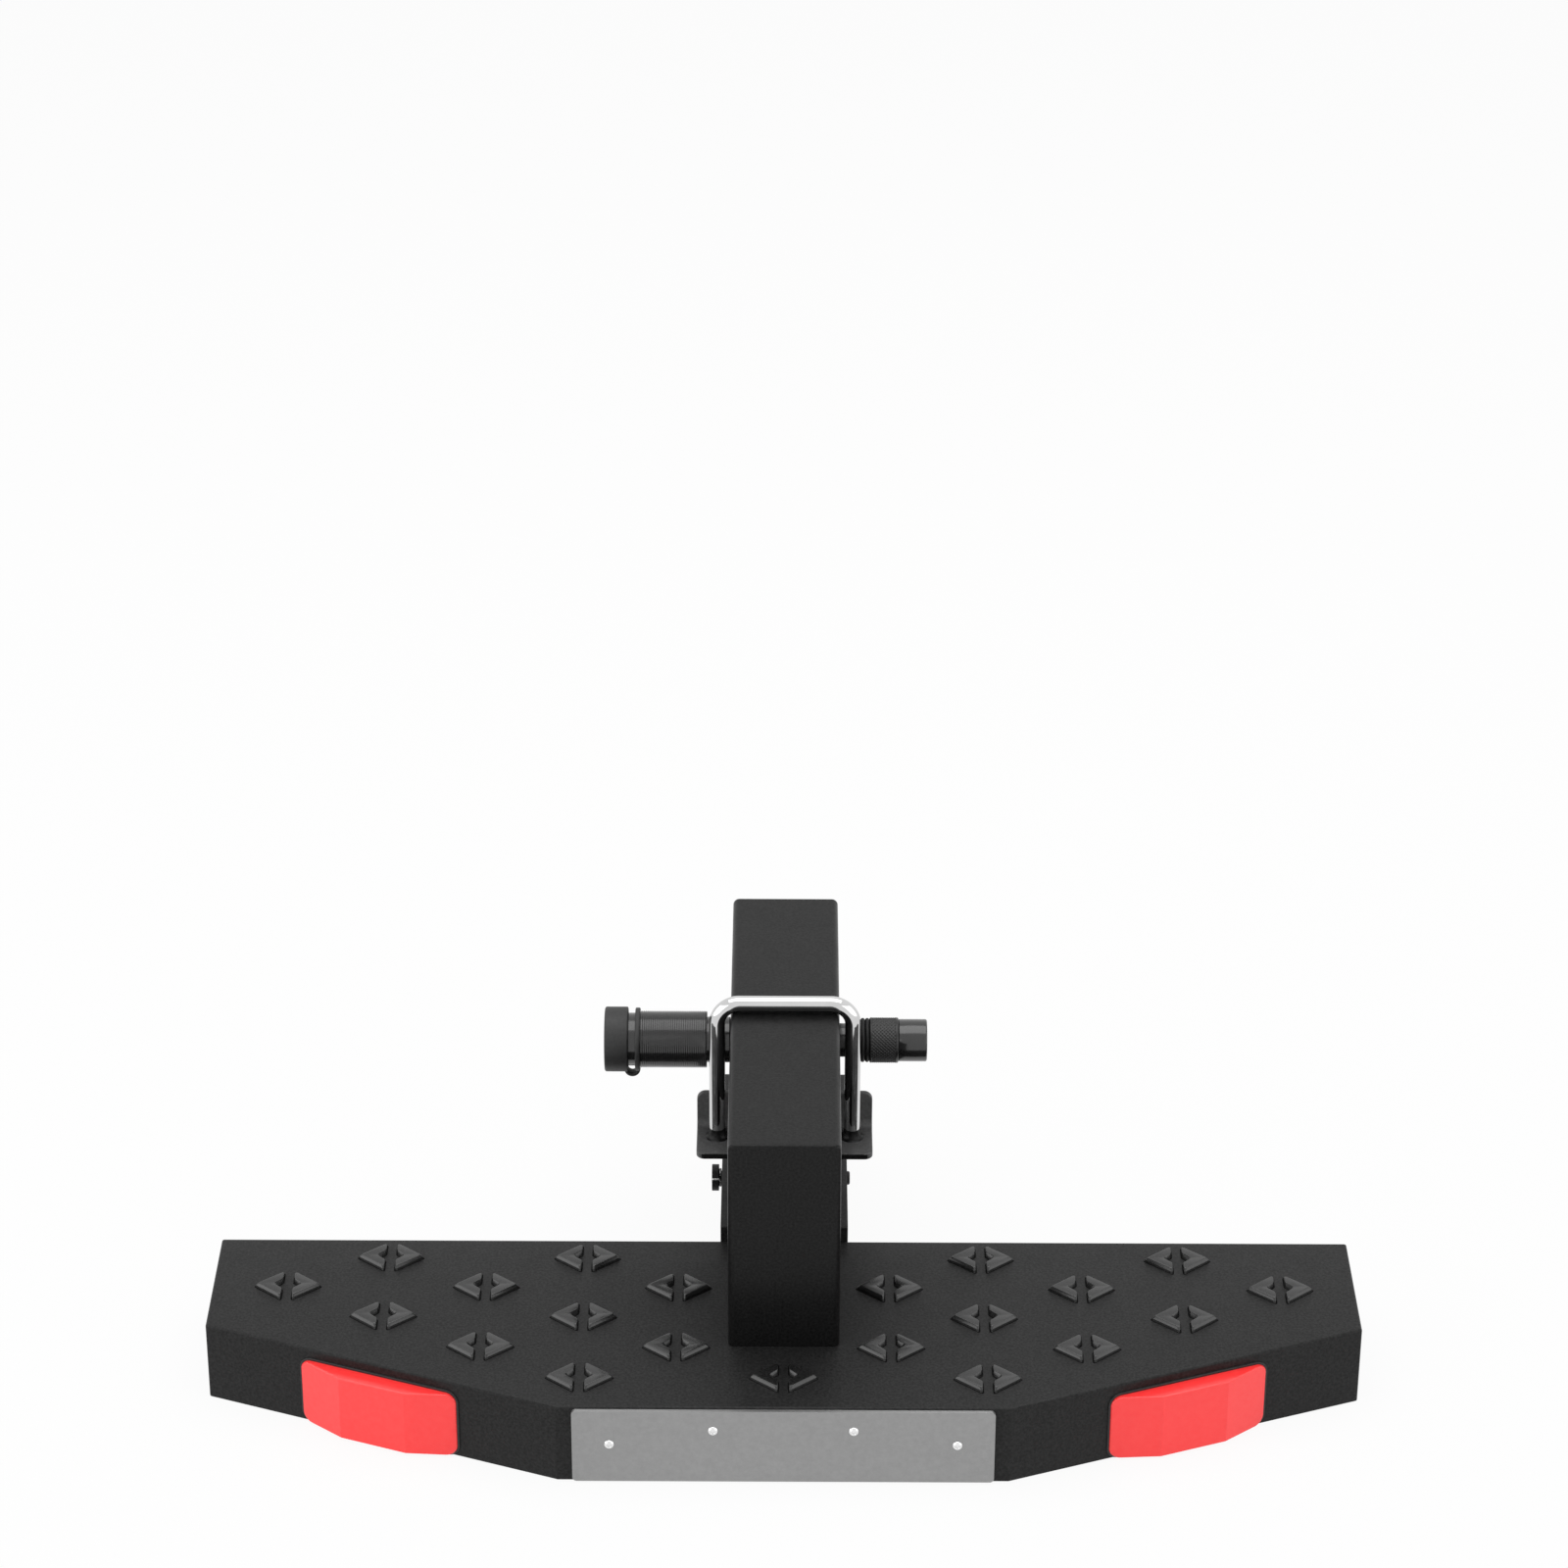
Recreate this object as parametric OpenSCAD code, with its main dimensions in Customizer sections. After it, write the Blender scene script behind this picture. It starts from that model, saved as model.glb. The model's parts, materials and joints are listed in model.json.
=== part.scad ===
// Hitch step: a shank, a drop arm and a folded step pan with a receiver channel behind it,
// a clamp that stops the shank rattling, and a locking hitch pin.
// Millimetres. The origin is where the hitch-pin hole crosses the middle of the shank.
// +X runs across the step, +Y along the shank towards the vehicle, +Z up.

/* [Shank and arm] */
// Outer width and height of the square tube
tube_w = 50.8; // [40:0.1:60]
// Wall of the square tube
tube_wall = 4.8; // [3:0.1:7]
// Outer corner radius of the square tube
tube_corner_r = 3; // [1.5:0.5:4]
// From the hitch-pin hole to the free end of the shank
pin_to_free_end = 91; // [70:1:120]
// From the hitch-pin hole to the front face of the arm
pin_to_arm_face = 133; // [110:1:170]
// From the top of the shank down to the top of the pan
arm_drop = 108; // [100:1:180]

/* [Step pan] */
// Width of the pan
pan_w = 530; // [450:1:650]
// Width of the straight part of the front
pan_front_w = 203; // [200:1:240]
// From the arm's front face forward to the front edge of the pan
pan_front_reach = 47.5; // [40:0.5:70]
// From the arm's front face back to the corners where the sides start
pan_side_reach = 15.5; // [5:0.5:25]
// From the arm's front face back to the rear edge of the pan
pan_rear_reach = 86.5; // [84:0.5:110]
// Height of the folded skirt, with the thickness of the top
skirt_h = 40; // [36:0.5:55]
// Thickness of the sheet
sheet_t = 3; // [2:0.1:4]
// Softened edge round the top of the pan
pan_edge = 1.2; // [0.5:0.1:1.8]

/* [Treads] */
// Width of a tread across the pan
tread_w = 31; // [24:0.5:36]
// Depth of a tread from front to back
tread_d = 21.6; // [16:0.2:23]
// Height of a tread above the pan
tread_h = 2.4; // [1:0.1:4]
// Slot between the two halves of a tread
tread_slot = 4.8; // [3:0.1:7]
// Width of the diamond window in the middle of a tread
tread_window = 13; // [9:0.5:15]
// Slope of the sides of a tread, measured across
tread_bevel = 1.1; // [0.3:0.1:1.4]
// Spacing of the columns of treads
tread_pitch_x = 46; // [42:0.5:60]
// Spacing of the rows of treads
tread_pitch_y = 23.9; // [23.5:0.1:30]
// Extra distance of the two columns beside the arm
tread_arm_shift = 2.9; // [0:0.1:6]
// From the front edge of the pan to the first row of treads
tread_first_row = 22.3; // [18:0.1:26]

/* [Receiver channel] */
// Wall of the channel behind the pan
channel_wall = 4.6; // [3:0.1:7]
// How far the channel's walls stand above the pan
channel_rise = 7.7; // [4:0.1:12]
// Room for a square bar between the channel's walls
channel_inner_w = 50.8; // [40:0.1:60]

/* [Face plate] */
// Width of the face plate
plate_w = 189.5; // [170:0.5:196]
// Thickness of the face plate
plate_t = 1.8; // [1:0.1:3]
// Corner radius of the face plate
plate_corner_r = 2; // [1:0.5:5]
// Margin of the face plate above and below
plate_margin = 0.9; // [0.3:0.1:3]
// From the middle to the outer rivets
rivet_outer_x = 78; // [60:0.5:82]
// From the middle to the inner rivets
rivet_inner_x = 31.5; // [20:0.5:50]
// From the top of the pan down to the outer rivets
rivet_outer_drop = 18.9; // [10:0.1:26]
// From the top of the pan down to the inner rivets
rivet_inner_drop = 11.4; // [10:0.1:26]
// Diameter of a rivet's head
rivet_head_d = 4.8; // [4:0.1:7]
// Diameter of a rivet's stem
rivet_stem_d = 3.2; // [2.4:0.1:3.8]

/* [Reflectors] */
// Length of a reflector along the slanted skirt
reflector_l = 77.3; // [60:0.1:100]
// Height of a reflector
reflector_h = 33.2; // [26:0.1:34]
// Length of a reflector's middle facet
reflector_flat_l = 32.4; // [20:0.1:40]
// Thickness of a reflector at its middle facet
reflector_mid_t = 8.6; // [5:0.1:14]
// Thickness of a reflector at its ends
reflector_end_t = 1.5; // [1:0.1:4]
// Corner radius of a reflector
reflector_corner_r = 5; // [2:0.5:9]
// From the top of the pan down to a reflector
reflector_drop = 5.6; // [2:0.1:6]

/* [Clamp] */
// Diameter of the U-bolt's rod
rod_d = 7.5; // [6:0.1:9]
// Gap between the shank's side and a leg of the U-bolt
leg_gap = 2.65; // [0.5:0.05:6]
// Outer radius of the U-bolt's bends
u_corner_r = 14.5; // [10:0.5:17]
// From the hitch-pin hole forward to the U-bolt
pin_to_u_bolt = 16.5; // [16:0.5:40]
// From the middle of a leg out to the clamp plate's side
clamp_side = 9.7; // [8:0.1:16]
// Thickness of the clamp plate
clamp_t = 3; // [2:0.1:5]
// Depth of the clamp plate from front to back
clamp_d = 29; // [27:0.5:40]
// Height of the clamp plate
clamp_h = 20.5; // [14:0.5:26]
// From the U-bolt back to the rear face of the clamp plate
leg_to_clamp_rear = 13; // [12:0.5:16]
// Inner bend radius of the clamp plate
clamp_bend_r = 4; // [2:0.5:4.5]
// Corner radius of the clamp plate
clamp_corner_r = 4; // [1:0.5:7]
// Width of the weld round the foot of a leg
weld_w = 2; // [1:0.1:2.2]
// Height of the weld round the foot of a leg
weld_h = 5; // [2:0.1:7]

/* [Hitch pin] */
// Diameter of the hitch pin
pin_d = 15.9; // [12.7:0.1:16.9]
// Gap on the right between the shank and the pin's O-rings
pin_gap = 10.2; // [4:0.1:12]
// Length of the knurled collar
collar_l = 13.7; // [8:0.1:20]
// Diameter of the knurled collar
collar_d = 21.5; // [21:0.1:26]
// Length of the pin's plain end
pin_end_l = 13.4; // [8:0.1:20]
// Diameter of the pin's plain end
pin_end_d = 20; // [18:0.1:24]
// Thickness of an O-ring
o_ring_t = 2.1; // [1.5:0.1:2.6]

/* [Lock] */
// Diameter of the lock's shoulder beside the shank
shoulder_d = 21.5; // [20:0.1:23]
// Length of the lock's shoulder
shoulder_l = 11; // [10.8:0.1:14]
// Diameter of the ribbed sleeve
sleeve_d = 26.8; // [26.5:0.1:30]
// Length of the ribbed sleeve
sleeve_l = 31.6; // [24:0.1:40]
// Spacing of the ribs
rib_pitch = 1; // [0.8:0.1:2]
// Depth of the grooves between the ribs
rib_depth = 0.3; // [0.1:0.05:0.5]
// Diameter of the lock's nose
nose_d = 25; // [22:0.1:25.5]
// Width of the gap between the strap's ring and the dust cap
nose_gap = 3.5; // [2:0.1:6]
// Diameter of the lock's core
core_d = 14; // [11:0.1:16]
// How far the pin reaches into the lock
pin_engagement = 31; // [20:0.5:32]
// Outer diameter of the dust cap
cap_d = 30.6; // [29:0.1:34]
// Length of the dust cap
cap_l = 10.9; // [8:0.1:16]
// Wall of the dust cap's end
cap_wall = 2.2; // [1.2:0.1:3]
// Outer diameter of the strap's ring
strap_ring_d = 29.8; // [28:0.1:33]
// Width of the strap's ring
strap_ring_w = 2.2; // [1.5:0.1:3]
// Width of the strap
strap_w = 5; // [3:0.5:7]
// Thickness of the strap
strap_t = 2; // [1:0.1:2.2]

/* [Cross pin] */
// From the hitch-pin hole back to the cross pin
cross_pin_back = 10; // [0:1:40]
// From the channel's top down to the cross pin
cross_pin_drop = 8.8; // [7:0.1:30]
// Diameter of the cross pin
cross_pin_d = 6.6; // [5:0.1:8]
// Diameter of the cross pin's head
cross_head_d = 12.8; // [10:0.1:16]
// Thickness of the cross pin's head
cross_head_t = 3.4; // [2:0.1:5]
// How far the cross pin stands out of the channel on the right
cross_tip_out = 1.5; // [0.5:0.1:5]
// Thickness of the wire clip
clip_wire_d = 1.2; // [0.8:0.1:1.6]

/* [Hidden] */
$fn = 64;

// Clearances between pieces
run_clear = 0.06;    // a shaft in its hole, on the radius
slide_clear = 0.3;   // pieces of different bodies that pass each other
seat_clear = 0.02;   // a ring or clip on its seat, on the radius
join = 0.01;         // how far pieces of one solid overlap
cut = 1;             // how far a cutter passes beyond what it cuts

// Colours of the finishes
powder_black = [0.16, 0.16, 0.16];
pin_black = [0.2, 0.2, 0.2];
rubber_black = [0.12, 0.12, 0.12];
chrome_colour = [0.85, 0.85, 0.87];
zinc_colour = [0.72, 0.73, 0.75];
plate_silver = [0.59, 0.59, 0.59];
reflector_red = [1, 0.28, 0.28];
brass_colour = [0.8, 0.65, 0.35];

// Heights and distances of the frame
half_tube = tube_w/2;
arm_face_y = -pin_to_arm_face;
arm_rear_y = arm_face_y + tube_w;
pan_top_z = half_tube - arm_drop;
pan_rim_z = pan_top_z - skirt_h;
pan_front_y = arm_face_y - pan_front_reach;
pan_side_y = arm_face_y + pan_side_reach;
pan_rear_y = arm_face_y + pan_rear_reach;

// Outline of the pan from above, from the rear left corner round by the front
pan_outline = [[-pan_w/2, pan_rear_y], [-pan_w/2, pan_side_y], [-pan_front_w/2, pan_front_y],
               [pan_front_w/2, pan_front_y], [pan_w/2, pan_side_y], [pan_w/2, pan_rear_y]];

// Channel behind the pan
channel_w = channel_inner_w + 2*channel_wall;
channel_top_z = pan_top_z + channel_rise;
channel_h = channel_top_z - pan_rim_z;

// Clamp: the U-bolt goes over the shank, and carries the plate below it
u_bolt_y = -pin_to_u_bolt;
rod_r = rod_d/2;
leg_spacing = tube_w + 2*leg_gap + rod_d;
clamp_w = leg_spacing + 2*clamp_side;
crossbar_z = half_tube + slide_clear + rod_r;
clamp_rear_y = u_bolt_y + leg_to_clamp_rear;
clamp_top_z = -half_tube - slide_clear;
clamp_bottom_z = clamp_top_z - clamp_h;
leg_end_z = clamp_bottom_z + clamp_t;

// Hitch pin, from the shank out to the right
o_ring_x = half_tube + pin_gap;
collar_x = o_ring_x + 2*o_ring_t;
pin_end_x = collar_x + collar_l;
o_ring_sunk = 0.3;
spigot_d = collar_d - 2*o_ring_t - 2*o_ring_sunk;

// Lock, from the shank out to the left
shoulder_x = -half_tube - slide_clear;
sleeve_x = shoulder_x - shoulder_l;
nose_x = sleeve_x - sleeve_l;
cap_x = nose_x - strap_ring_w - nose_gap;
cap_end_x = cap_x - cap_l;
nose_end_x = cap_end_x + cap_wall + slide_clear;
pin_tip_x = shoulder_x - pin_engagement;
core_wall = 6;
core_back_x = pin_tip_x - core_wall;

// Cross pin
cross_pin_y = cross_pin_back;
cross_pin_z = channel_top_z - cross_pin_drop;
cross_head_x = -channel_w/2 - clip_wire_d - slide_clear;

// Shared shapes

// Polygon moved inwards by d on every side, for an outline that runs anticlockwise
function unit(v) = v/norm(v);
function edge_normal(p, i) =
    let (e = unit(p[(i + 1) % len(p)] - p[i])) [-e[1], e[0]];
function inset(p, d) = [for (i = [0:len(p) - 1])
    let (a = edge_normal(p, (i + len(p) - 1) % len(p)), b = edge_normal(p, i))
    p[i] + (a + b)*d/(1 + a*b)];

// Solid between a lower outline and an upper one with as many points
module loft(lower, upper, z0, z1) {
    n = len(lower);
    polyhedron(
        points = concat([for (p = lower) [p[0], p[1], z0]], [for (p = upper) [p[0], p[1], z1]]),
        faces = concat([[for (i = [0:n - 1]) i]], [[for (i = [n - 1:-1:0]) n + i]],
                       [for (i = [0:n - 1]) [i, n + i, n + (i + 1) % n, (i + 1) % n]]));
}

// Rectangle with round corners, centred
module rounded_rect(w, h, r) {
    square([w - 2*r, h], center = true);
    square([w, h - 2*r], center = true);
    for (x = [-1, 1], y = [-1, 1])
        translate([x*(w/2 - r), y*(h/2 - r)]) circle(r);
}

// Square tube along +Z
module square_tube(length) {
    inner_r = max(tube_corner_r - tube_wall, 1);
    linear_extrude(length)
        difference() {
            rounded_rect(tube_w, tube_w, tube_corner_r);
            rounded_rect(tube_w - 2*tube_wall, tube_w - 2*tube_wall, inner_r);
        }
}

// Cylinder along +X from x0 to x1
module rod_x(x0, x1, d) {
    translate([x0, 0, 0]) rotate([0, 90, 0]) cylinder(h = x1 - x0, d = d);
}

// Everything on the shank's side of the mitre, or on the arm's side
module mitre_block(side) {
    reach = 2*(pin_to_arm_face + pin_to_free_end + arm_drop);
    translate([0, arm_face_y, half_tube])
        rotate([45, 0, 0])
            translate([-tube_w, side < 0 ? -reach : 0, -reach/2])
                cube([2*tube_w, reach, reach]);
}

// Frame

// Square tube that slides into the receiver, mitred where it meets the arm
module shank_tube() {
    color(powder_black)
        difference() {
            translate([0, arm_face_y, 0])
                rotate([-90, 0, 0])
                    square_tube(pin_to_arm_face + pin_to_free_end);
            mitre_block(-1);
            rod_x(-tube_w, tube_w, pin_d + 2*run_clear);
        }
}

// Square tube that drops from the shank to the pan
module drop_arm() {
    color(powder_black)
        difference() {
            translate([0, arm_face_y + half_tube, pan_top_z])
                square_tube(arm_drop);
            mitre_block(1);
        }
}

// Half a tread: half a diamond with its tip outwards and a window cut in its inner side
function tread_half(side) =
    let (tip = tread_w/2, near = tread_slot/2, win = tread_window/2, deep = tread_d/2)
    let (mouth = win - near)
    let (right = [[tip, 0], [near, deep], [near, mouth], [win, 0], [near, -mouth], [near, -deep]])
    [for (p = right) side*p];

// Both halves of a tread, each in two convex pieces that meet behind the window
module tread() {
    sunk = 0.2;
    for (side = [-1, 1], piece = [[0, 1, 2, 3], [0, 3, 4, 5]]) {
        foot = tread_half(side);
        top = inset(foot, tread_bevel);
        loft([for (k = piece) foot[k]], [for (k = piece) top[k]], pan_top_z - sunk, pan_top_z + tread_h);
    }
}

// Half width of the pan at a distance y
function pan_half_w(y) = y >= pan_side_y ? pan_w/2
    : pan_front_w/2 + (pan_w - pan_front_w)/2*(y - pan_front_y)/(pan_side_y - pan_front_y);

// Place of the column i: the two beside the arm stand a little further out
function column_x(i) = i*tread_pitch_x + (abs(i) == 1 ? i*tread_arm_shift : 0);

module treads() {
    columns = floor(pan_w/2/tread_pitch_x);
    first_y = pan_front_y + tread_first_row;
    rows = floor((pan_rear_y - tread_d/2 - first_y)/tread_pitch_y);
    for (row = [0:rows], i = [-columns:columns]) {
        x = column_x(i);
        y = first_y + row*tread_pitch_y;
        fits = abs(x) + tread_w/2 < pan_half_w(y - tread_d/4);
        under_arm = abs(x) < half_tube + tread_w/2
            && y > arm_face_y - tread_d/2 && y < arm_rear_y + tread_d/2;
        if ((i + row) % 2 == 0 && fits && !under_arm)
            translate([x, y, 0]) tread();
    }
}

// Places of the rivets: distance from the middle and height
rivet_places = [for (s = [-1, 1], p = [[rivet_outer_x, rivet_outer_drop], [rivet_inner_x, rivet_inner_drop]])
    [s*p[0], pan_top_z - p[1]]];

module rivet_holes(d) {
    for (p = rivet_places)
        translate([p[0], pan_front_y - plate_t - cut, p[1]])
            rotate([-90, 0, 0])
                cylinder(h = plate_t + sheet_t + 2*cut, d = d);
}

// Folded sheet: a flat top with a skirt all round, open below, and the treads pressed up in it
module step_pan() {
    inner = inset(pan_outline, sheet_t);
    color(powder_black) {
        difference() {
            union() {
                translate([0, 0, pan_rim_z])
                    linear_extrude(skirt_h - pan_edge) polygon(pan_outline);
                loft(pan_outline, inset(pan_outline, pan_edge), pan_top_z - pan_edge, pan_top_z);
            }
            translate([0, 0, pan_rim_z - cut])
                linear_extrude(skirt_h - sheet_t + cut) polygon(inner);
            rivet_holes(rivet_stem_d);
        }
        treads();
    }
}

// Open channel behind the pan, level with its rim, with holes for the cross pin
module rear_channel() {
    length = pin_to_free_end - pan_rear_y;
    color(powder_black)
        difference() {
            translate([-channel_w/2, pan_rear_y, pan_rim_z])
                cube([channel_w, length, channel_h]);
            translate([-channel_inner_w/2, pan_rear_y - cut, pan_rim_z + channel_wall])
                cube([channel_inner_w, length + 2*cut, channel_h]);
            translate([0, cross_pin_y, cross_pin_z])
                rod_x(-channel_w, channel_w, cross_pin_d + 2*run_clear);
        }
}

// Face plate

module face_plate() {
    plate_h = skirt_h - 2*plate_margin;
    color(plate_silver)
        difference() {
            translate([0, pan_front_y, pan_top_z - skirt_h/2])
                rotate([90, 0, 0])
                    linear_extrude(plate_t) rounded_rect(plate_w, plate_h, plate_corner_r);
            rivet_holes(rivet_stem_d);
        }
}

// Blind rivets: a low dome outside, the stem through both sheets and a wider tail behind
module face_plate_rivets() {
    head_h = rivet_head_d/4;
    tail_l = 2.5;
    tail_d = (rivet_head_d + rivet_stem_d)/2 + 0.6;
    dome_r = (pow(rivet_head_d/2, 2) + pow(head_h, 2))/(2*head_h);
    color(chrome_colour)
        for (p = rivet_places)
            translate([p[0], pan_front_y - plate_t, p[1]])
                rotate([90, 0, 0]) {
                    intersection() {
                        translate([0, 0, head_h - dome_r]) sphere(dome_r);
                        cylinder(h = 2*head_h, d = rivet_head_d + 2*cut);
                    }
                    translate([0, 0, -plate_t - sheet_t - join])
                        cylinder(h = plate_t + sheet_t + 2*join, d = rivet_stem_d);
                    translate([0, 0, -plate_t - sheet_t - tail_l])
                        cylinder(h = tail_l, d = tail_d);
                }
}

// Reflectors

// Bowed lens in three facets, on the middle of the slanted skirt
module reflector(side) {
    run_x = (pan_w - pan_front_w)/2;
    run_y = pan_side_y - pan_front_y;
    slant = atan2(run_y, run_x);
    color(reflector_red)
        translate([side*(pan_w + pan_front_w)/4, (pan_front_y + pan_side_y)/2,
                   pan_top_z - reflector_drop - reflector_h/2])
            rotate([0, 0, side*slant])
                intersection() {
                    translate([0, 0, -reflector_h/2])
                        linear_extrude(reflector_h)
                            polygon([[-reflector_l/2, 0], [-reflector_l/2, -reflector_end_t],
                                     [-reflector_flat_l/2, -reflector_mid_t],
                                     [reflector_flat_l/2, -reflector_mid_t],
                                     [reflector_l/2, -reflector_end_t], [reflector_l/2, 0]]);
                    rotate([90, 0, 0])
                        translate([0, 0, -cut])
                            linear_extrude(reflector_mid_t + 2*cut)
                                rounded_rect(reflector_l, reflector_h, reflector_corner_r);
                }
}

module reflector_left() { reflector(-1); }
module reflector_right() { reflector(1); }

// Clamp

// One rod bent twice over the shank
module u_bolt() {
    bend_r = u_corner_r - rod_r;
    corner_x = leg_spacing/2 - bend_r;
    corner_z = crossbar_z - bend_r;
    color(chrome_colour)
        translate([0, u_bolt_y, 0]) {
            translate([0, 0, crossbar_z]) rod_x(-corner_x, corner_x, rod_d);
            for (side = [-1, 1]) {
                translate([side*leg_spacing/2, 0, leg_end_z])
                    cylinder(h = corner_z - leg_end_z, d = rod_d);
                translate([side*corner_x, 0, corner_z])
                    rotate([90, 0, 0])
                        rotate([0, 0, side > 0 ? 0 : 90])
                            rotate_extrude(angle = 90)
                                translate([bend_r, 0]) circle(rod_r);
            }
        }
}

// Side view of the clamp plate: an upright flange, a bend and a shelf
module clamp_profile() {
    outer_r = clamp_bend_r + clamp_t;
    bend_y = clamp_rear_y - outer_r;
    bend_z = clamp_bottom_z + outer_r;
    translate([clamp_rear_y - clamp_t, bend_z])
        square([clamp_t, clamp_top_z - bend_z]);
    translate([clamp_rear_y - clamp_d, clamp_bottom_z])
        square([clamp_d - outer_r, clamp_t]);
    translate([bend_y, bend_z])
        intersection() {
            difference() {
                circle(outer_r);
                circle(clamp_bend_r);
            }
            translate([0, -outer_r]) square(outer_r);
        }
}

module clamp_plate() {
    color(powder_black)
        difference() {
            rotate([90, 0, 90])
                translate([0, 0, -clamp_w/2])
                    linear_extrude(clamp_w) clamp_profile();
            for (side = [-1, 1]) {
                clamp_corner(side, clamp_rear_y - clamp_t/2, clamp_top_z, [90, 0, 0]);
                clamp_corner(side, clamp_rear_y - clamp_d, clamp_bottom_z + clamp_t/2, [0, 0, 0]);
            }
        }
}

// What is cut off a corner of the clamp plate to round it
module clamp_corner(side, y, z, turn) {
    translate([side*clamp_w/2, y, z])
        rotate(turn)
            translate([0, 0, -clamp_t])
                linear_extrude(2*clamp_t)
                    difference() {
                        square(2*clamp_corner_r, center = true);
                        translate([-side*clamp_corner_r, turn[0] > 0 ? -clamp_corner_r : clamp_corner_r])
                            circle(clamp_corner_r);
                    }
}

// Hollow fillet of weld between each leg and the shelf it stands on
module clamp_welds() {
    color(powder_black)
        for (side = [-1, 1])
            translate([side*leg_spacing/2, u_bolt_y, leg_end_z])
                rotate_extrude()
                    polygon([[rod_r, 0], [rod_r + weld_w, 0], [rod_r + weld_w*0.5, weld_h*0.2],
                             [rod_r + weld_w*0.2, weld_h*0.5], [rod_r, weld_h]]);
}

// Hitch pin

// Turned profile along +X: points of distance along the axis and radius
module turned_x(profile) {
    rotate([0, 90, 0]) rotate_extrude() polygon([for (p = profile) [p[1], p[0]]]);
}

// Pin with a chamfered tip on the left and a plain end on the right
module hitch_pin() {
    r = pin_d/2;
    end_r = pin_end_d/2;
    ease = 1;
    color(pin_black)
        turned_x([[pin_tip_x, 0], [pin_tip_x, r - 2*ease], [pin_tip_x + 2*ease, r],
                  [pin_end_x, r], [pin_end_x, end_r], [pin_end_x + pin_end_l - ease/2, end_r],
                  [pin_end_x + pin_end_l, end_r - ease/2], [pin_end_x + pin_end_l, 0]]);
}

// Collar on the pin, with a narrower neck that carries the O-rings
module pin_collar() {
    r = collar_d/2;
    ease = 0.5;
    hole_r = pin_d/2;
    color(pin_black)
        turned_x([[o_ring_x, hole_r], [o_ring_x, spigot_d/2], [collar_x, spigot_d/2],
                  [collar_x, r - ease], [collar_x + ease, r], [pin_end_x - ease, r],
                  [pin_end_x, r - ease], [pin_end_x, hole_r]]);
}

module pin_o_rings() {
    color(rubber_black)
        for (i = [0, 1])
            translate([o_ring_x + (i + 0.5)*o_ring_t, 0, 0])
                rotate([0, 90, 0])
                    rotate_extrude()
                        translate([(spigot_d + o_ring_t)/2, 0]) circle(d = o_ring_t - seat_clear, $fn = 24);
}

// Lock

// Outline of the ribbed sleeve from its right end to its left end, rib by rib
function sleeve_profile() =
    let (count = floor(sleeve_l/rib_pitch), step = sleeve_l/count, r = sleeve_d/2)
    [for (i = [0:count - 1], k = [0:3])
        [sleeve_x - (i + [0, 0.5, 0.65, 0.85][k])*step, r - [0, 0, rib_depth, rib_depth][k]]];

// Lock body: shoulder, ribbed sleeve and nose, bored for the pin and for the core
module lock_body() {
    shoulder_r = shoulder_d/2;
    groove = 0.5;
    groove_x = shoulder_x - 3.4;
    groove_end_x = groove_x - 0.8;
    bore_r = pin_d/2 + run_clear;
    nose_r = nose_d/2;
    outside = concat(
        [[shoulder_x, bore_r], [shoulder_x, shoulder_r - groove], [shoulder_x - groove, shoulder_r],
         [groove_x, shoulder_r], [groove_x, shoulder_r - groove],
         [groove_end_x, shoulder_r - groove], [groove_end_x, shoulder_r],
         [sleeve_x, shoulder_r]],
        sleeve_profile(),
        [[nose_x, sleeve_d/2], [nose_x, nose_r], [nose_end_x + groove, nose_r],
         [nose_end_x, nose_r - groove]]);
    core_r = core_d/2 + run_clear;
    inside = [[nose_end_x, core_r], [core_back_x, core_r], [core_back_x, 0],
              [pin_tip_x - slide_clear, 0], [pin_tip_x - slide_clear, bore_r]];
    color(pin_black) turned_x(concat(outside, inside));
}

// Core with a keyway in its face
module lock_core() {
    recess = 0.8;
    face_x = nose_end_x + recess;
    key_w = 1.8;
    key_h = 8;
    key_depth = 10;
    color(brass_colour)
        difference() {
            rod_x(face_x, core_back_x - slide_clear, core_d);
            translate([face_x - cut, -key_w/2, -key_h/2]) cube([key_depth + cut, key_w, key_h]);
        }
}

// Dust cap: a rubber cup over the lock's nose
module dust_cap() {
    r = cap_d/2;
    hole_r = nose_d/2 + slide_clear;
    ease = 0.8;
    color(rubber_black)
        turned_x([[cap_x, hole_r], [cap_x, r - ease/2], [cap_x - ease/2, r], [cap_end_x + ease, r],
                  [cap_end_x, r - ease], [cap_end_x, 0], [cap_end_x + cap_wall, 0],
                  [cap_end_x + cap_wall, hole_r]]);
}

// Ring on the lock's nose and the short strap that leads from it to the dust cap
module cap_strap() {
    ring_x = nose_x - strap_ring_w;
    left_x = cap_x - strap_t;
    right_x = nose_x;
    loop_r = (right_x - left_x)/2;
    loop_z = -cap_d/2 - slide_clear;
    strap_root = 1;
    color(rubber_black) {
        difference() {
            rod_x(ring_x, nose_x, strap_ring_d);
            rod_x(ring_x - cut, nose_x + cut, nose_d);
        }
        translate([(left_x + right_x)/2, strap_w/2, loop_z])
            rotate([90, 0, 0])
                linear_extrude(strap_w)
                    difference() {
                        union() {
                            intersection() {
                                circle(loop_r);
                                translate([-loop_r, -loop_r]) square([2*loop_r, loop_r]);
                            }
                            translate([loop_r - strap_t, -join])
                                square([strap_t, cap_d/2 - strap_ring_d/2 + slide_clear + strap_root]);
                        }
                        circle(loop_r - strap_t);
                    }
    }
}

// Cross pin

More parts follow.
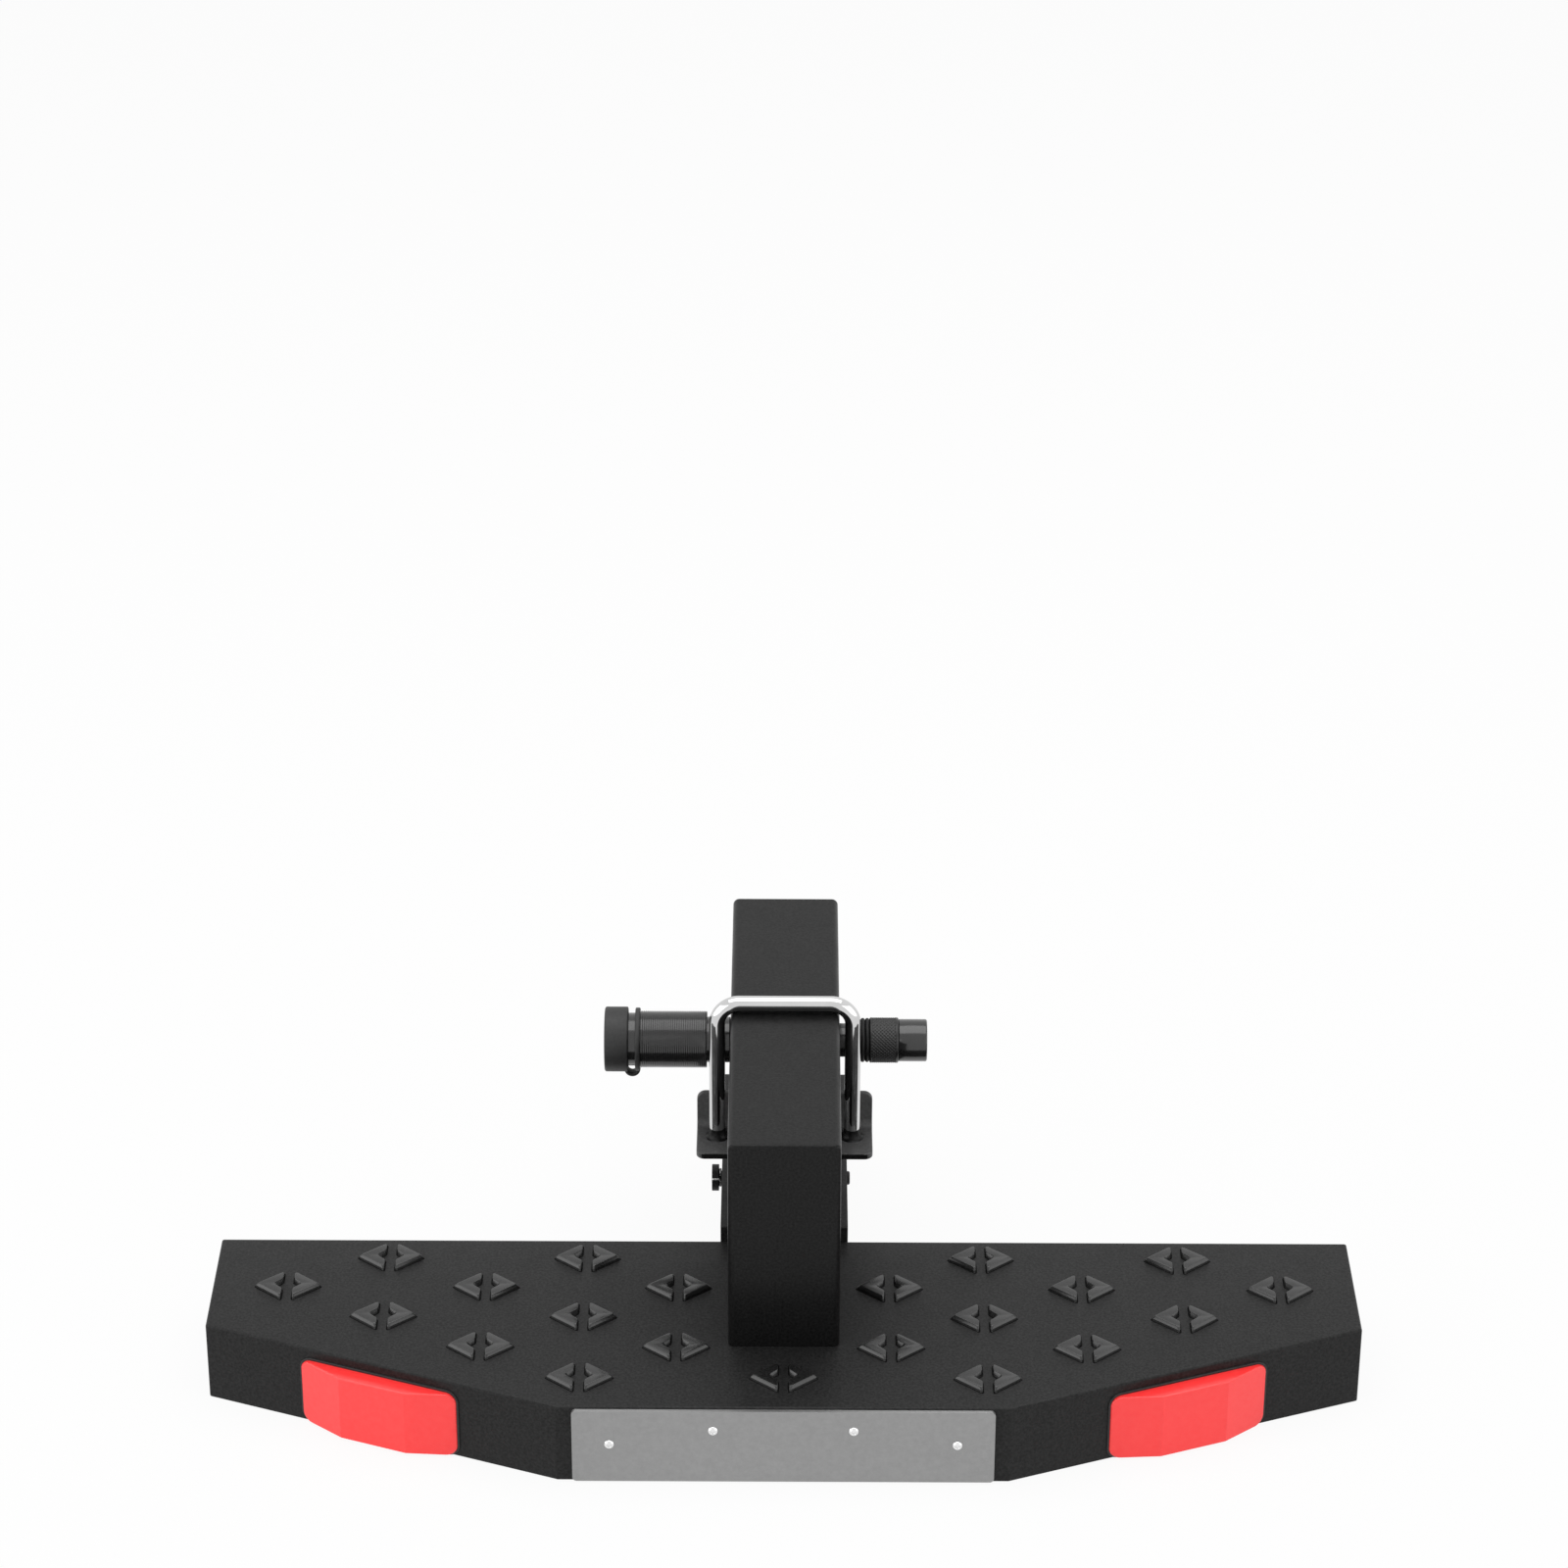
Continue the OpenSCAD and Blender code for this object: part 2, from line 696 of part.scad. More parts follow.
// Pin through the channel's walls, with a slotted head on the left
module cross_pin() {
    r = cross_pin_d/2;
    head_r = cross_head_d/2;
    tip_x = channel_w/2 + cross_tip_out;
    ease = 0.5;
    slot_w = 1;
    color(pin_black)
        translate([0, cross_pin_y, cross_pin_z])
            difference() {
                turned_x([[cross_head_x - cross_head_t, 0], [cross_head_x - cross_head_t, head_r],
                          [cross_head_x, head_r], [cross_head_x, r], [tip_x - ease, r],
                          [tip_x, r - ease], [tip_x, 0]]);
                translate([cross_head_x - cross_head_t - cut, -cross_head_d, -slot_w/2])
                    cube([cut + cross_head_t/2, 2*cross_head_d, slot_w]);
            }
}

// Open wire ring under the head
module cross_pin_clip() {
    ring_r = cross_pin_d/2 + clip_wire_d/2 + seat_clear;
    color(zinc_colour)
        translate([cross_head_x + clip_wire_d/2 + seat_clear, cross_pin_y, cross_pin_z])
            rotate([0, 90, 0])
                rotate([0, 0, 120])
                    rotate_extrude(angle = 300)
                        translate([ring_r, 0]) circle(d = clip_wire_d, $fn = 24);
}

shank_tube();
drop_arm();
step_pan();
rear_channel();
face_plate();
face_plate_rivets();
reflector_left();
reflector_right();
u_bolt();
clamp_plate();
clamp_welds();
hitch_pin();
pin_collar();
pin_o_rings();
lock_body();
lock_core();
dust_cap();
cap_strap();
cross_pin();
cross_pin_clip();
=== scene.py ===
import bmesh
import bpy
import json
import math
from mathutils import Matrix, Vector


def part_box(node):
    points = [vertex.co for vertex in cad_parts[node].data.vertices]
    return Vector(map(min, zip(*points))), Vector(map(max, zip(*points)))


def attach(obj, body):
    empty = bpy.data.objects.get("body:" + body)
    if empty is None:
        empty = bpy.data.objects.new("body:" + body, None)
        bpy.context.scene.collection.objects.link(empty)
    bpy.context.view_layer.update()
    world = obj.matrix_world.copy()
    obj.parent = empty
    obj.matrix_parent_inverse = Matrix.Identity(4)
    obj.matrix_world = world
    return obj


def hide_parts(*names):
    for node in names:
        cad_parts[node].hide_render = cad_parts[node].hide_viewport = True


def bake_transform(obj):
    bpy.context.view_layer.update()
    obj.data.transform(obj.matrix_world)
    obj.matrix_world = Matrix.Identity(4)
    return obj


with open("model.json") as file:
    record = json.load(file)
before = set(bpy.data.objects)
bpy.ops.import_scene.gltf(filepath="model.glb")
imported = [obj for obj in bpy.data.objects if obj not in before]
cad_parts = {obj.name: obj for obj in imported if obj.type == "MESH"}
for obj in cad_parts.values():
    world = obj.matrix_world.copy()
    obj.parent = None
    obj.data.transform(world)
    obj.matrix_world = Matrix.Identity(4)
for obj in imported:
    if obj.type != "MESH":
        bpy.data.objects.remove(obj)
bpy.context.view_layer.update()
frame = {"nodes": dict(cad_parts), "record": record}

MM = 0.001
NODES = frame["nodes"]
RECORD = frame["record"]
BODY_OF = {node: body for body, nodes in RECORD["behaviour"]["bodies"].items() for node in nodes}
SLOT_OF = {part["node"]: part["material_slot"] for part in RECORD["subparts"]}

# Sizes that the part's source also holds, in millimetres
HALF_TUBE = 25.4
TUBE_WALL = 4.8
TUBE_CORNER = 3.0
ARM_FACE_Y = -133.0
FREE_END_Y = 91.0
PAN_TOP_Z = -82.6
PAN_RIM_Z = -122.6
PAN_FRONT_Y = -180.5
PAN_SIDE_Y = -117.5
PAN_REAR_Y = -46.5
PAN_HALF_W = 265.0
PAN_FRONT_HALF_W = 101.5
SHEET_T = 3.0
PIN_R = 7.95
PIN_GAP = 0.06


# Object and node tools

WHITE = (1, 1, 1, 1)


def add_object(name, data):
    obj = bpy.data.objects.new(name, data)
    bpy.context.scene.collection.objects.link(obj)
    return obj


def to_mesh(name, bm):
    mesh = bpy.data.meshes.new(name)
    bm.to_mesh(mesh)
    bm.free()
    return mesh


def grey(value):
    return (value, value, value)


def set_inputs(node, values):
    """Sets sockets by name; an underscore in a name stands for a space."""
    for name, value in values.items():
        node.inputs[name.replace("_", " ")].default_value = value
    return node


def add_node(tree, kind, **values):
    return set_inputs(tree.nodes.new(kind), values)


def seen_rays(tree):
    """1 for rays that come from the camera, a glossy surface or glass, 0 for the rest."""
    path = add_node(tree, "ShaderNodeLightPath")
    total = path.outputs["Is Camera Ray"]
    for name in ("Is Glossy Ray", "Is Transmission Ray"):
        both = add_node(tree, "ShaderNodeMath")
        both.operation = "MAXIMUM"
        tree.links.new(total, both.inputs[0])
        tree.links.new(path.outputs[name], both.inputs[1])
        total = both.outputs[0]
    return total


def link_mix(tree, share, first, second, output):
    """Mixes two shaders and links them to a new output node."""
    mix = add_node(tree, "ShaderNodeMixShader")
    tree.links.new(share, mix.inputs["Fac"])
    tree.links.new(first.outputs[0], mix.inputs[1])
    tree.links.new(second.outputs[0], mix.inputs[2])
    tree.links.new(mix.outputs[0], add_node(tree, output).inputs["Surface"])


# Camera

# Focal length in pixels, sensor in millimetres, pitch, yaw and roll in degrees, place in metres
IMAGE_SIZE = 1600
FOCAL_LENGTH = 4744.2
SENSOR_W = 36.0
CAMERA_ANGLES = (28.021, -0.046, 0.212)
CAMERA_PLACE = (0.0006, -1.8804, 1.1374)


def make_camera():
    pitch, yaw, roll = (math.radians(a) for a in CAMERA_ANGLES)
    forward = Vector((math.sin(yaw)*math.cos(pitch), math.cos(yaw)*math.cos(pitch), -math.sin(pitch)))
    right = Vector((math.cos(yaw), -math.sin(yaw), 0))
    up = right.cross(forward)
    tilted_right = math.cos(roll)*right + math.sin(roll)*up
    tilted_up = -math.sin(roll)*right + math.cos(roll)*up
    data = bpy.data.cameras.new("camera")
    data.sensor_width = SENSOR_W
    data.lens = FOCAL_LENGTH/IMAGE_SIZE*SENSOR_W
    data.clip_start = 0.05
    data.clip_end = 50
    camera = add_object("camera", data)
    axes = Matrix((tilted_right, tilted_up, -forward)).transposed()
    camera.matrix_world = Matrix.Translation(Vector(CAMERA_PLACE)) @ axes.to_4x4()
    bpy.context.scene.camera = camera


# Light and floor

AMBIENT = 0.45
# Name, place, target and size in metres, power in watts
LAMPS = (("overhead", (0.0, 0.1, 1.8), (0, -0.05, -0.08), (2.4, 1.6), 24),
         ("left_fill", (-1.9, -0.9, 0.55), (0, -0.1, -0.08), (2.6, 1.6), 20),
         ("right_fill", (1.9, -0.9, 0.55), (0, -0.1, -0.08), (2.6, 1.6), 12))
# Half the floor's side in metres, its distance below the pan's rim in millimetres, and its looks
FLOOR_HALF = 6.0
FLOOR_GAP = 0.05
FLOOR_GREY = 0.82
FLOOR_WHITE_SHARE = 0.93


def make_world():
    """White where it is seen or mirrored, dimmer where it lights the object."""
    world = bpy.data.worlds.new("studio")
    bpy.context.scene.world = world
    world.use_nodes = True
    tree = world.node_tree
    tree.nodes.clear()
    ambient = add_node(tree, "ShaderNodeBackground", Color=WHITE, Strength=AMBIENT)
    white = add_node(tree, "ShaderNodeBackground", Color=WHITE, Strength=1.0)
    link_mix(tree, seen_rays(tree), ambient, white, "ShaderNodeOutputWorld")


def make_lamp(name, place, target, size, watts):
    data = bpy.data.lights.new(name, "AREA")
    data.shape = "RECTANGLE"
    data.size, data.size_y = size
    data.energy = watts
    lamp = add_object(name, data)
    lamp.location = place
    lamp.rotation_mode = "QUATERNION"
    lamp.rotation_quaternion = (Vector(target) - Vector(place)).to_track_quat("-Z", "Y")


def make_floor():
    """Nearly white floor that keeps a faint shadow."""
    z = (PAN_RIM_Z - FLOOR_GAP)*MM
    corners = ((-1, -1), (1, -1), (1, 1), (-1, 1))
    bm = bmesh.new()
    bm.faces.new([bm.verts.new((x*FLOOR_HALF, y*FLOOR_HALF, z)) for x, y in corners])
    floor = add_object("floor", to_mesh("floor", bm))
    material = bpy.data.materials.new("floor_white")
    material.use_nodes = True
    tree = material.node_tree
    tree.nodes.clear()
    matt = add_node(tree, "ShaderNodeBsdfDiffuse", Color=(*grey(FLOOR_GREY), 1))
    white = add_node(tree, "ShaderNodeEmission", Color=WHITE, Strength=1.0)
    share = add_node(tree, "ShaderNodeMath")
    share.operation = "MULTIPLY"
    share.inputs[1].default_value = FLOOR_WHITE_SHARE
    tree.links.new(seen_rays(tree), share.inputs[0])
    link_mix(tree, share.outputs[0], matt, white, "ShaderNodeOutputMaterial")
    floor.data.materials.append(material)


# Materials

# Noise values between which the colour and the roughness change
NOISE_LOW = 0.3
NOISE_HIGH = 0.7
NOISE_ROUGHNESS = 0.6
# How much coarser the patches of roughness are than the grain
PATCH_SIZE = 12


def surface(name, dark, light, rough, scale, stretch=(1, 1, 1), bump=0.0, depth=0.2*MM, detail=3.0,
            **sockets):
    """Noise in the object's own space drives colour, roughness and bump; the rest is set on the shader."""
    material = bpy.data.materials.new(name)
    material.use_nodes = True
    tree = material.node_tree
    link = tree.links.new
    shader = set_inputs(tree.nodes["Principled BSDF"], sockets)
    place = add_node(tree, "ShaderNodeTexCoord")
    mapping = add_node(tree, "ShaderNodeMapping", Scale=stretch)
    link(place.outputs["Object"], mapping.inputs["Vector"])
    noise = add_node(tree, "ShaderNodeTexNoise", Scale=scale, Detail=detail, Roughness=NOISE_ROUGHNESS)
    link(mapping.outputs["Vector"], noise.inputs["Vector"])
    ramp = add_node(tree, "ShaderNodeValToRGB")
    for i, (position, color) in enumerate(((NOISE_LOW, dark), (NOISE_HIGH, light))):
        ramp.color_ramp.elements[i].position = position
        ramp.color_ramp.elements[i].color = (*color, 1)
    link(noise.outputs["Fac"], ramp.inputs["Fac"])
    link(ramp.outputs["Color"], shader.inputs["Base Color"])
    patches = add_node(tree, "ShaderNodeTexNoise", Scale=scale/PATCH_SIZE, Detail=2.0)
    link(mapping.outputs["Vector"], patches.inputs["Vector"])
    spread = add_node(tree, "ShaderNodeMapRange", From_Min=NOISE_LOW, From_Max=NOISE_HIGH,
                      To_Min=rough[0], To_Max=rough[1])
    link(patches.outputs["Fac"], spread.inputs["Value"])
    link(spread.outputs["Result"], shader.inputs["Roughness"])
    if bump:
        relief = add_node(tree, "ShaderNodeBump", Strength=bump, Distance=depth)
        link(noise.outputs["Fac"], relief.inputs["Height"])
        link(relief.outputs["Normal"], shader.inputs["Normal"])
    return material


powder_coat = surface("powder_coat", grey(0.006), grey(0.022), (0.42, 0.5), 850, bump=0.4, depth=0.12*MM,
                      detail=2.0, Specular_IOR_Level=0.18)
# Darker copy of the powder coat: painted shade on the tube, on the clamp plate's front edge and on the weld
# fillets
painted_shade_coat = surface("painted_shade_coat", grey(0.003), grey(0.013), (0.3, 0.38), 850, bump=0.35, depth=0.1*MM,
                    detail=2.0, Specular_IOR_Level=0.155)
# Lighter copy of the powder coat for the clamp plate: painted light
clamp_painted_light_coat = surface("clamp_painted_light_coat", grey(0.068), grey(0.1), (0.4, 0.48), 850, bump=0.2, depth=0.1*MM,
                     detail=2.0, Specular_IOR_Level=0.3)
tread_coat = surface("tread_coat", grey(0.006), grey(0.016), (0.24, 0.3), 700, bump=0.12, depth=0.1*MM,
                     detail=2.0, Specular_IOR_Level=0.62)
# Black for the flat line round each tread's foot: a painted shadow
painted_shadow_line = surface("painted_shadow_line", grey(0.001), grey(0.003), (0.7, 0.8), 900, Specular_IOR_Level=0.05)
dull_black = surface("dull_black", grey(0.003), grey(0.009), (0.42, 0.52), 600, bump=0.05,
                     Specular_IOR_Level=0.22)
knurl_black = surface("knurl_black", grey(0.004), grey(0.012), (0.3, 0.4), 500, Specular_IOR_Level=0.45)
face_silver = surface("face_silver", grey(0.295), grey(0.325), (0.4, 0.48), 420, bump=0.04, depth=0.05*MM,
                      Metallic=0.85, Specular_IOR_Level=0.5)
rivet_metal = surface("rivet_metal", grey(0.72), grey(0.85), (0.12, 0.22), 700, Metallic=1.0)
# The lens's faint red emission is painted light: it glows a little though it is no lamp
reflector_red = surface("reflector_red", (0.95, 0.035, 0.035), (1.0, 0.045, 0.045), (0.2, 0.24), 400,
                        Specular_IOR_Level=0.6, Emission_Color=(1.0, 0.03, 0.03, 1), Emission_Strength=0.12)
chrome_rod = surface("chrome_rod", grey(0.6), grey(0.66), (0.03, 0.07), 120, Metallic=1.0)
zinc = surface("zinc", grey(0.5), grey(0.62), (0.25, 0.4), 500, bump=0.05, Metallic=1.0)
pin_black = surface("pin_black", grey(0.012), grey(0.02), (0.12, 0.2), 420, stretch=(4, 1, 1), bump=0.03,
                    Specular_IOR_Level=0.7)
rubber = surface("rubber", grey(0.018), grey(0.028), (0.5, 0.62), 600, bump=0.1, Specular_IOR_Level=0.4)
brass = surface("brass", (0.62, 0.42, 0.16), (0.72, 0.52, 0.22), (0.22, 0.34), 300, bump=0.04, Metallic=1.0)
MATERIALS = {"powder_coat": powder_coat, "face_silver": face_silver, "rivet_metal": rivet_metal,
             "reflector_red": reflector_red, "chrome_rod": chrome_rod, "zinc": zinc, "pin_black": pin_black,
             "rubber": rubber, "brass": brass}
# Place of a piece's second material
SECOND = 1


# Mesh tools, in millimetres

# Radius that stands for zero until the points of a turned shape's end are merged
POINT_R = 0.001


def make_object(name, bm, smooth_angle=35):
    bmesh.ops.recalc_face_normals(bm, faces=bm.faces)
    mesh = to_mesh(name, bm)
    mesh.polygons.foreach_set("use_smooth", [True]*len(mesh.polygons))
    mesh.set_sharp_from_angle(angle=math.radians(smooth_angle))
    return add_object(name, mesh)


def weld(bm, gap=0.0005):
    """Merges points that lie closer than the gap."""
    bmesh.ops.remove_doubles(bm, verts=bm.verts, dist=gap*MM)


def soften(obj, width, segments=3, angle=30):
    """Rounds the sharp edges."""
    bevel = obj.modifiers.new("edges", "BEVEL")
    bevel.width = width*MM
    bevel.segments = segments
    bevel.limit_method = "ANGLE"
    bevel.angle_limit = math.radians(angle)
    bevel.harden_normals = True


def stands_for(obj, *nodes, move=True, material=None):
    """Finishes a piece: it takes the nodes' finish and body, and they are hidden."""
    obj.data.materials.clear()
    obj.data.materials.append(material or MATERIALS[SLOT_OF[nodes[0]]])
    if move:
        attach(obj, BODY_OF[nodes[0]])
    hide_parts(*nodes)
    return obj


def softened_copy(node, width, segments=3, angle=30, smooth_angle=35, material=None):
    """Copy of a CAD node with welded corners and rounded edges."""
    bm = bmesh.new()
    bm.from_mesh(NODES[node].data)
    weld(bm, 0.002)
    bmesh.ops.dissolve_limit(bm, angle_limit=math.radians(0.5), verts=bm.verts, edges=bm.edges)
    obj = make_object(node + "_detail", bm, smooth_angle)
    soften(obj, width, segments, angle)
    return stands_for(obj, node, material=material)


def join_rings(bm, rings):
    """Quads between successive closed rings of points; returns the rings' vertices."""
    made = [[bm.verts.new([c*MM for c in p]) for p in ring] for ring in rings]
    count = len(made[0])
    for a, b in zip(made, made[1:]):
        for i in range(count):
            j = (i + 1) % count
            bm.faces.new((a[i], a[j], b[j], b[i]))
    return made


def circle(r, count):
    """Points round a circle."""
    turns = [2*math.pi*k/count for k in range(count)]
    return [(r*math.cos(turn), r*math.sin(turn)) for turn in turns]


def lathe_x(bm, profile, segments=96):
    """Turned shape round the X axis; a radius of 0 closes the end."""
    made = join_rings(bm, [[(x, a, b) for a, b in circle(max(r, POINT_R), segments)] for x, r in profile])
    for ring, (x, r) in ((made[0], profile[0]), (made[-1], profile[-1])):
        if r < POINT_R:
            bmesh.ops.pointmerge(bm, verts=ring, merge_co=Vector((x, 0, 0))*MM)


def eased(points, times=3):
    """Path with its corners cut off again and again."""
    for _ in range(times):
        cut = [points[0]]
        for p, q in zip(points, points[1:]):
            cut += [p*0.75 + q*0.25, p*0.25 + q*0.75]
        points = cut + [points[-1]]
    return points


def tube(bm, points, radii, segments=16):
    """Round wire along a path, with flat ends."""
    rings = []
    last = len(points) - 1
    for i, p in enumerate(points):
        tangent = (points[min(i + 1, last)] - points[max(i - 1, 0)]).normalized()
        if i:
            normal = before.rotation_difference(tangent) @ normal
        else:
            normal = tangent.orthogonal().normalized()
        before = tangent
        side = tangent.cross(normal)
        rings.append([tuple(p + radii[i]*(normal*a + side*b)) for a, b in circle(1, segments)])
    made = join_rings(bm, rings)
    bm.faces.new(made[0])
    bm.faces.new(made[-1])


def close_profile(profile):
    return profile + [profile[0]]


def inset(outline, depths):
    """Outline moved inwards, by one depth or by one for each side."""
    points = []
    count = len(outline)
    if isinstance(depths, (int, float)):
        depths = [depths]*count
    for i in range(count):
        p = Vector(outline[i])
        before = (p - Vector(outline[i - 1])).normalized()
        after = (Vector(outline[(i + 1) % count]) - p).normalized()
        a = Vector((-before.y, before.x))
        b = Vector((-after.y, after.x))
        turn = a.dot(b)
        near, far = depths[i - 1], depths[i]
        points.append(tuple(p + (a*(near - turn*far) + b*(far - turn*near))/(1 - turn*turn)))
    return points


def rounded(outline, reaches, steps=4):
    """Outline with each corner replaced by a curve that starts its own reach before the corner."""
    points = []
    count = len(outline)
    for i in range(count):
        p, before, after = (Vector(outline[j % count]) for j in (i, i - 1, i + 1))
        start = p + (before - p).normalized()*min(reaches[i], 0.4*(before - p).length)
        end = p + (after - p).normalized()*min(reaches[i], 0.4*(after - p).length)
        for k in range(steps + 1):
            t = k/steps
            points.append(tuple(start*(1 - t)**2 + p*2*t*(1 - t) + end*t*t))
    return points


def round_cornered(half_w, half_h, r, steps):
    """Points round a rectangle with round corners."""
    points = []
    for quarter, (sx, sy) in enumerate(((1, 1), (-1, 1), (-1, -1), (1, -1))):
        for k in range(steps + 1):
            a = math.pi/2*(quarter + k/steps)
            points.append((sx*(half_w - r) + r*math.cos(a), sy*(half_h - r) + r*math.sin(a)))
    return points


# Shank and arm: one tube with a mitred, ground bend

INNER_CORNER = 1.0
ARM_FOOT_DEPTH = 2.0
DRILL_REACH = 40


def make_shank_and_arm():
    """The arm's lower end runs on into the pan's sheet, so its softened edge is hidden."""
    arm_axis_y = ARM_FACE_Y + HALF_TUBE
    foot_z = PAN_TOP_Z - ARM_FOOT_DEPTH

    def rings(half, corner):
        section = round_cornered(half, half, corner, 6)
        return [[(x, FREE_END_Y, v) for x, v in section],
                [(x, arm_axis_y - v, v) for x, v in section],
                [(x, arm_axis_y - v, foot_z) for x, v in section]]

    bm = bmesh.new()
    join_rings(bm, rings(HALF_TUBE, TUBE_CORNER) + rings(HALF_TUBE - TUBE_WALL, INNER_CORNER)[::-1])
    bmesh.ops.bridge_loops(bm, edges=[e for e in bm.edges if e.is_boundary])
    obj = make_object("shank_and_arm", bm)
    cutter = bmesh.new()
    hole_r = PIN_R + PIN_GAP
    lathe_x(cutter, [(-DRILL_REACH, 0), (-DRILL_REACH, hole_r), (DRILL_REACH, hole_r), (DRILL_REACH, 0)], 72)
    hole = make_object("hole_cutter", cutter)
    drill = obj.modifiers.new("pin_hole", "BOOLEAN")
    drill.operation = "DIFFERENCE"
    drill.solver = "EXACT"
    drill.object = hole
    bpy.context.view_layer.update()
    depsgraph = bpy.context.evaluated_depsgraph_get()
    drilled = bpy.data.meshes.new_from_object(obj.evaluated_get(depsgraph))
    obj.modifiers.clear()
    obj.data = drilled
    bpy.data.objects.remove(hole)
    soften(obj, 1.3, 4)
    # The tube takes the darker coat, which is painted shade
    stands_for(obj, "shank_tube", "drop_arm", material=painted_shade_coat)


# Pan

PAN_OUTLINE = [(-PAN_HALF_W, PAN_REAR_Y), (-PAN_HALF_W, PAN_SIDE_Y), (-PAN_FRONT_HALF_W, PAN_FRONT_Y),
               (PAN_FRONT_HALF_W, PAN_FRONT_Y), (PAN_HALF_W, PAN_SIDE_Y), (PAN_HALF_W, PAN_REAR_Y)]
PAN_EDGE_R = 1.2
PAN_EDGE_STEPS = 6
TREAD = {"w": 31.0, "d": 21.6, "h": 2.4, "slot": 4.8, "window": 10.4, "bevel": 1.1,
         "pitch_x": 46.0, "pitch_y": 23.9, "arm_shift": 2.9, "first_row": 22.3}
# Reach of the curve at each corner of a half tread, from its tip on
TREAD_CORNERS = [1.0, 2.0, 0.7, 1.5, 0.7, 2.0]


def add_pan_shell(bm):
    rings = [[(*p, PAN_RIM_Z) for p in PAN_OUTLINE]]
    for k in range(PAN_EDGE_STEPS + 1):
        a = math.pi/2*k/PAN_EDGE_STEPS
        drop = PAN_EDGE_R*(1 - math.sin(a))
        rings.append([(*p, PAN_TOP_Z - drop) for p in inset(PAN_OUTLINE, PAN_EDGE_R*(1 - math.cos(a)))])
    made = join_rings(bm, rings)
    bm.faces.new(made[-1])
    inner = inset(PAN_OUTLINE, SHEET_T)
    inside = join_rings(bm, [[(*p, z) for p in inner] for z in (PAN_RIM_Z, PAN_TOP_Z - SHEET_T)])
    bm.faces.new(inside[-1])
    count = len(PAN_OUTLINE)
    for i in range(count):
        j = (i + 1) % count
        bm.faces.new((made[0][i], made[0][j], inside[0][j], inside[0][i]))


def tread_places():
    """Staggered lattice within the slanted sides, with room for the arm."""
    t = TREAD
    first_y = PAN_FRONT_Y + t["first_row"]
    rows = int((PAN_REAR_Y - t["d"]/2 - first_y)//t["pitch_y"])
    columns = int(PAN_HALF_W//t["pitch_x"])
    for row in range(rows + 1):
        for i in range(-columns, columns + 1):
            x = i*t["pitch_x"] + (i*t["arm_shift"] if abs(i) == 1 else 0)
            y = first_y + row*t["pitch_y"]
            near = y - t["d"]/4
            half_w = PAN_HALF_W
            if near < PAN_SIDE_Y:
                share = (near - PAN_FRONT_Y)/(PAN_SIDE_Y - PAN_FRONT_Y)
                half_w = PAN_FRONT_HALF_W + (PAN_HALF_W - PAN_FRONT_HALF_W)*share
            under_arm = (abs(x) < HALF_TUBE + t["w"]/2
                         and ARM_FACE_Y - t["d"]/2 < y < ARM_FACE_Y + 2*HALF_TUBE + t["d"]/2)
            if (i + row) % 2 == 0 and abs(x) + t["w"]/2 < half_w and not under_arm:
                yield x, y


def add_treads(bm):
    """Both halves of every tread; the flat line round each foot gets the second material, a black painted
    shadow.
    """
    t = TREAD
    tip, near, win, deep, h, bevel = t["w"]/2, t["slot"]/2, t["window"]/2, t["d"]/2, t["h"], t["bevel"]
    mouth = win - near
    right = [(tip, 0), (near, deep), (near, mouth), (win, 0), (near, -mouth), (near, -deep)]
    # The first two steps make the flat ring of painted shadow round the foot
    # Depth of the two outer edges, of the slot and of the notch, and height
    steps = [(-0.4, -0.4, -0.4, -0.1), (-0.35, -0.35, -0.35, 0.03), (0, 0, 0, 0.06), (0.08, 0.05, 0.1, 0.35),
             (0.12, 0.08, 0.45, 1.1), (0.22, 0.1, 0.55, 1.3), (bevel - 0.15, 0.15, 1.0, h - 0.2),
             (bevel - 0.05, 0.2, 1.08, h - 0.08), (bevel + 0.12, 0.4, 1.25, h)]
    for x, y in tread_places():
        for side in (-1, 1):
            foot = [(side*a, side*b) for a, b in right]
            first = len(bm.faces)
            rings = []
            for outer, slot, notch, z in steps:
                outline = rounded(inset(foot, [outer, slot, notch, notch, slot, outer]), TREAD_CORNERS)
                rings.append([(x + a, y + b, PAN_TOP_Z + z) for a, b in outline])
            made = join_rings(bm, rings)
            bm.faces.new(made[-1])
            bm.faces.ensure_lookup_table()
            for face in bm.faces[first:first + 2*len(made[0])]:
                face.material_index = SECOND


def make_pan():
    bm = bmesh.new()
    add_pan_shell(bm)
    shell = make_object("pan_shell", bm, 20)
    soften(shell, 0.7, 3, 20)
    stands_for(shell, "step_pan")
    bm = bmesh.new()
    add_treads(bm)
    treads = make_object("pan_treads", bm, 50)
    treads.data.materials.append(tread_coat)
    treads.data.materials.append(painted_shadow_line)
    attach(treads, "root")


# Face plate rivets: a dome round the sunk end of the mandrel

# Place across, and distance below the pan's top
RIVET_PLACES = ((-78.0, 18.9), (-31.5, 11.4), (31.5, 11.4), (78.0, 18.9))
# Distance behind the plate's face, and radius
RIVET_PROFILE = ((0.2, 2.4), (-0.15, 2.4), (-0.55, 2.15), (-0.9, 1.7), (-1.12, 1.25), (-1.1, 0.95),
                 (-0.7, 0.85), (-0.55, 0.8), (-0.62, 0.4), (-0.66, 0))


def make_rivets():
    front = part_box("face_plate")[0].y/MM
    bm = bmesh.new()
    for x, drop in RIVET_PLACES:
        z = PAN_TOP_Z - drop
        join_rings(bm, [[(x + a, front + behind, z + b) for a, b in circle(max(r, POINT_R), 32)]
                        for behind, r in RIVET_PROFILE])
    stands_for(make_object("rivet_heads", bm, 60), "face_plate_rivets")


# Reflectors

PAD_HALF_L = 39.6
PAD_HALF_H = 17.6
PAD_CORNER = 5.9
PAD_DROP = 22.2
PAD_DEPTHS = (0.2, -0.8)


